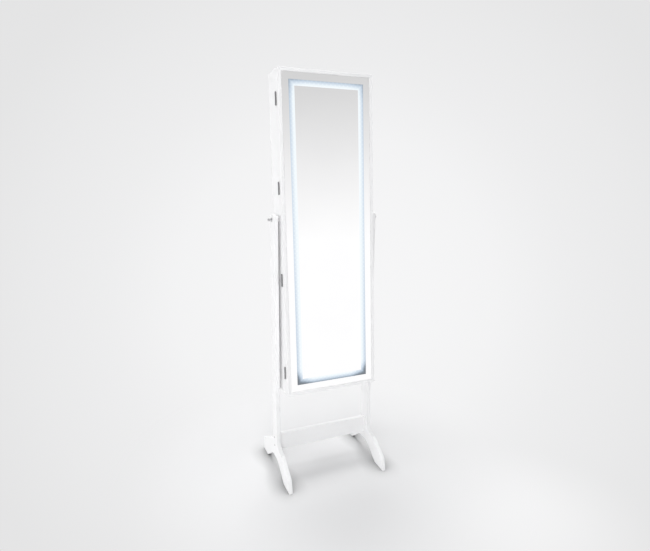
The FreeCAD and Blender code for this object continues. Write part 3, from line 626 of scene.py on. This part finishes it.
def make_lid_grip():
    """Ribs near the lower edge of the battery lid, for the thumb that slides it."""
    low, high = cabinet_box("battery_lid")

    def build(work):
        for number in range(RIB_COUNT):
            centre = Vector((0, high.y + RIB_HALF.y, low.z + RIB_START + RIB_PITCH * number))
            made = bmesh.ops.create_cube(work, size=2.0)
            bmesh.ops.scale(work, vec=RIB_HALF, verts=made["verts"])
            bmesh.ops.translate(work, vec=centre, verts=made["verts"])
    piece = new_object("battery_lid_grip", mesh_from(build, "battery_lid_grip"), CABINET)
    bevel = piece.modifiers.new("bevel", "BEVEL")
    bevel.width = RIB_EASING
    bevel.segments = 3
    piece.data.materials.append(MATERIALS["white_plastic"])
    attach(piece, "door")


# ---- ring rolls --------------------------------------------------------------------------

ROLL_COUNT = 4
ROLL_GROOVE = 0.0055
ROLL_STEPS = 14
ROLL_LENGTHS = 96
WALL_STEPS = 6
WALL_BULGE = 0.0005
# The rolls keep this far inside the cushion's space, at its sides and at its top.
ROLL_ROOM = 0.0006
ROLL_HEADROOM = 0.0012
# The ends draw in from this share of the half length: how much narrower and lower they get.
END_START = 0.955
END_NARROWING = 0.16
END_DROP = 0.05
# The tops sink towards both ends, and a little all over.
ROLL_SAG = 0.0015
ROLL_SINK = 0.0004
# The covers at the ends: how far they are set in from the edges, and how deep they lie.
COVER_INSET = 0.0016
COVER_SINK = 0.0004


def roll_height(share):
    """Height over the grooves at a share of the depth, a round back on each roll."""
    local = (share * ROLL_COUNT) % 1.0 if share < 1.0 else 1.0
    return ROLL_GROOVE * math.sqrt(max(0.0, 1 - (2 * local - 1) ** 2))


def roll_outline(front, depth, side):
    """The section across the rolls, up the front wall, over the rolls and down the back."""
    outline = []
    for step in range(WALL_STEPS):
        rise = step / WALL_STEPS
        outline.append((front - WALL_BULGE * math.sin(math.pi * rise), side * rise))
    across = ROLL_COUNT * ROLL_STEPS
    for step in range(across + 1):
        share = step / across
        outline.append((front + depth * share, side + roll_height(share)))
    for step in range(WALL_STEPS):
        rise = 1 - (step + 1) / WALL_STEPS
        outline.append((front + depth + WALL_BULGE * math.sin(math.pi * rise), side * rise))
    return outline


def wrinkle(x, y, z):
    """Soft wrinkles in the cover: fine ones, and long ones over the rolls."""
    fine = noise.noise(Vector((x * 160, y * 420, z * 90))) * 0.00035
    return fine + noise.noise(Vector((x * 45, y * 60, 7.0))) * 0.0005


def make_ring_rolls():
    """Padded rolls side by side, velvet over foam: drawn in at the ends, with soft wrinkles."""
    low, high = cabinet_box("ring_cushion")
    front = low.y + ROLL_ROOM
    depth = high.y - low.y - 2 * ROLL_ROOM
    reach = high.x - ROLL_ROOM
    side = high.z - low.z - ROLL_GROOVE - ROLL_HEADROOM
    middle_y = front + depth / 2
    outline = roll_outline(front, depth, side)

    def ring_at(work, along):
        """The section at a share of the half length, -1 at the left end and 1 at the right."""
        x = reach * along
        end = max(0.0, (abs(along) - END_START) / (1 - END_START))
        narrowed = 1 - END_NARROWING * end ** 2
        lowered = 1 - END_DROP * end ** 2
        sag = ROLL_SAG * along ** 2
        ring = []
        for y, z in outline:
            lift = z / (side + ROLL_GROOVE)
            height = z * lowered - sag * lift + wrinkle(x, y, z) * lift - ROLL_SINK * lift
            place = (x, middle_y + (y - middle_y) * narrowed, low.z + max(0.0, height))
            ring.append(work.verts.new(place))
        return ring

    def build(work):
        rings = [ring_at(work, 2 * number / ROLL_LENGTHS - 1)
                 for number in range(ROLL_LENGTHS + 1)]
        for first, second in zip(rings, rings[1:]):
            join_loops(work, first, second)
        for ring in (rings[0], rings[-1]):
            cover = bmesh.ops.contextual_create(work, geom=ring)
            bmesh.ops.inset_region(work, faces=cover["faces"], thickness=COVER_INSET,
                                   depth=COVER_SINK)
    piece = new_object("ring_rolls", mesh_from(build, "ring_rolls"), CABINET)
    for face in piece.data.polygons:
        face.use_smooth = True
    piece.data.materials.append(MATERIALS["grey_felt"])
    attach(piece, "cabinet")
    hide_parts("ring_cushion")


# ---- mirror ------------------------------------------------------------------------------

# The sheet's material slots.
SILVER, BAND, EDGE = range(3)


def sheet_grid(work, lines_x, y, lines_z):
    """A flat grid of points, row by row from the bottom."""
    return [[work.verts.new((x, y, z)) for x in lines_x] for z in lines_z]


def grid_rim(grid):
    """The grid's outermost points, once round."""
    right = [row[-1] for row in grid[1:]]
    left = [row[0] for row in grid[-2:0:-1]]
    return grid[0] + right + grid[-1][-2::-1] + left


def grid_faces(work, grid):
    """The grid's faces by their row and column."""
    faces = {}
    for row, (lower, upper) in enumerate(zip(grid, grid[1:])):
        for column in range(len(lower) - 1):
            faces[row, column] = work.faces.new((lower[column], lower[column + 1],
                                                 upper[column + 1], upper[column]))
    return faces


def make_mirror():
    """The glass sheet: silvered middle and rim, and the sandblasted band between them."""
    low, high = cabinet_box("mirror_glass")
    strip_low, strip_high = cabinet_box("light_diffuser")
    inner_x = min(abs(point.x) for point in cabinet_points("light_diffuser"))
    outer_x = strip_high.x
    width = outer_x - inner_x
    field_low = strip_low.z + width
    field_high = strip_high.z - width
    lines_x = [low.x, -outer_x, -inner_x, inner_x, outer_x, high.x]
    lines_z = [low.z, strip_low.z, field_low, field_high, strip_high.z, high.z]

    def build(work):
        front = sheet_grid(work, lines_x, low.y, lines_z)
        back = sheet_grid(work, lines_x, high.y, lines_z)
        # Rim, band, field, band and rim follow each other, across as well as up.
        for (row, column), face in grid_faces(work, front).items():
            in_field = (row, column) == (2, 2)
            in_band = 1 <= row <= 3 and 1 <= column <= 3 and not in_field
            face.material_index = BAND if in_band else SILVER
        plain = list(grid_faces(work, back).values())
        plain += join_loops(work, grid_rim(front), grid_rim(back))
        for face in plain:
            face.material_index = EDGE

    piece = new_object("mirror_sheet", mesh_from(build, "mirror_sheet"), CABINET)
    piece.data.materials.append(MATERIALS["mirror_silver"])
    piece.data.materials.append(band_material(inner_x, field_low, field_high, width))
    piece.data.materials.append(glass_edge_material())
    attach(piece, "door")
    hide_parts("mirror_glass")


# ---- studio ------------------------------------------------------------------------------

AMBIENT = 0.40
AMBIENT_COLOUR = (0.985, 0.992, 1.0, 1)
# What gloss shows of the floor and the wall.
GLOSS_WHITE = 1.03

# The backdrop's glow, by the angle from where it is brightest, as a share of a quarter turn.
VIEW_CENTRE = Vector((0.392, 0.887, -0.246)).normalized()
BACKDROP_STOPS = (
    (0.0, (0.925, 0.925, 0.931)),
    (0.12, (0.916, 0.916, 0.922)),
    (0.20, (0.898, 0.898, 0.904)),
    (0.28, (0.852, 0.852, 0.858)),
    (0.36, (0.820, 0.820, 0.825)),
    (0.43, (0.783, 0.783, 0.787)),
    (1.0, (0.74, 0.74, 0.744)),
)
# The studio wall that gloss shows: its grey by the sine of the angle over the horizon.
WALL_GREYS = ((0.0, 1.0), (0.03, 0.972), (0.085, 0.925), (0.15, 0.858), (0.31, 0.655),
              (1.0, 0.49))

FLOOR_REACH = 40.0
FLOOR_SIDES = 64
FLOOR_COLOUR = (0.79, 0.79, 0.795)
# The lit floor turns into the backdrop's glow between these distances from the object's middle.
FLOOR_FADE = (0.32, 0.85)
# How near something has to be for the floor's painted contact shade, and how finely that is worked out.
CONTACT_SHADE_REACH = 0.075
CONTACT_SHADE_SAMPLES = 16
# A soft pool of light on the far floor: its middle, where its fading starts and ends, its level.
POOL_PLACE = Vector((0.53, -0.63, 0.0))
POOL_REACH = (0.05, 0.55)
POOL_LEVEL = 1.09

# Each lamp's name, place, target, side and level.
LAMPS = (
    ("key", (-1.7, -3.9, 1.7), (0, 0, 0.9), 2.4, 0.43),
    ("side", (-4.2, 0.2, 1.35), (0, 0, 0.8), 2.4, 0.29),
    ("top", (0, 0.12, 3.3), (0, 0, 0), 1.5, 0.36),
    ("back", (0.4, 2.3, 3.1), (0, 0, 0.2), 2.0, 0.33),
)


def backdrop_glow(shader, direction):
    """Pale paper lit most where it hangs behind the object, by the angle from that place."""
    angle = shader.maths("ARCCOSINE", shader.vector_maths("DOT_PRODUCT", direction, VIEW_CENTRE))
    return shader.ramp(shader.maths("DIVIDE", angle, math.pi / 2, clamp=True), BACKDROP_STOPS)


def floor_glow(shader, position):
    """The backdrop's glow carried on over the far floor, as one fixed place sees it."""
    offset = shader.vector_maths("SUBTRACT", position, CAMERA_PLACE)
    colour = backdrop_glow(shader, shader.vector_maths("NORMALIZE", offset))
    to_pool = shader.vector_maths("DISTANCE", position, POOL_PLACE)
    level = shader.ease(to_pool, *POOL_REACH, first=POOL_LEVEL, last=1.0)
    return shader.add("ShaderNodeEmission", Color=colour, Strength=level).outputs[0]


def lit_floor(shader):
    """Pale paper that takes the shadows, with painted shade that darkens it close to what stands on it."""
    texture = shader.noise(90.0)
    tone = shader.mottle(texture, shade(FLOOR_COLOUR, 0.995), FLOOR_COLOUR)
    # Ambient occlusion darkens the floor's colour: painted contact shade near the feet and other parts.
    contact_shade = shader.add("ShaderNodeAmbientOcclusion", Color=tone, Distance=CONTACT_SHADE_REACH)
    contact_shade.samples = CONTACT_SHADE_SAMPLES
    return shader.add("ShaderNodeBsdfDiffuse", Color=contact_shade.outputs["Color"]).outputs[0]


def floor_material():
    """Lit paper near the object, the backdrop's glow further out, and plain white in gloss."""
    shader = new_shader("floor")
    position = shader.position()
    far = shader.ease(shader.vector_maths("LENGTH", position), *FLOOR_FADE)
    seen_far = shader.maths("MULTIPLY", far, shader.ray("Is Camera Ray"))
    seen = shader.mix(seen_far, lit_floor(shader), floor_glow(shader, position))
    white = shader.add("ShaderNodeEmission", Color=(1, 1, 1, 1), Strength=GLOSS_WHITE)
    return shader.finish(shader.mix(shader.ray("Is Glossy Ray"), seen, white.outputs[0]))


def make_floor():
    """A round pale floor that reaches out of sight."""
    def build(work):
        bmesh.ops.create_circle(work, cap_ends=True, radius=FLOOR_REACH, segments=FLOOR_SIDES)
    floor = new_object("floor", mesh_from(build, "floor"))
    floor.data.materials.append(floor_material())


def make_world():
    """Even light, a pale backdrop to the eye, and in gloss a wall that darkens upwards."""
    world = bpy.data.worlds.new("studio")
    bpy.context.scene.world = world
    shader = Shader(world)
    direction = shader.coordinates("Generated")
    level = shader.share(shader.split(direction)["Z"], -1.0, 1.0)
    wall = shader.ramp(level, [((sine + 1) / 2, grey(tone)) for sine, tone in WALL_GREYS])

    def background(colour, strength):
        return shader.add("ShaderNodeBackground", Color=colour, Strength=strength).outputs[0]

    unseen = shader.mix(shader.ray("Is Glossy Ray"), background(AMBIENT_COLOUR, AMBIENT),
                        background(wall, GLOSS_WHITE))
    backdrop = background(backdrop_glow(shader, direction), 1.0)
    shader.finish(shader.mix(shader.ray("Is Camera Ray"), unseen, backdrop))


def make_lamp(name, place, target, side, level):
    """A square soft lamp.  Level 1 lights a surface that faces it as a white world would."""
    aim = Vector(target) - Vector(place)
    data = bpy.data.lights.new(name, "AREA")
    data.shape = "SQUARE"
    data.size = side
    data.energy = level * (math.pi * aim.length) ** 2
    lamp = bpy.data.objects.new(name, data)
    bpy.context.scene.collection.objects.link(lamp)
    lamp.location = place
    lamp.rotation_euler = aim.to_track_quat("-Z", "Y").to_euler()
    lamp.visible_camera = False
    lamp.visible_glossy = False


def make_studio():
    make_floor()
    make_world()
    for lamp in LAMPS:
        make_lamp(*lamp)
    bpy.context.scene.view_settings.view_transform = "Standard"


make_camera()
make_studio()
dress_nodes()
ease_edges()
make_mirror()
make_fasteners()
make_lid_grip()
make_ring_rolls()
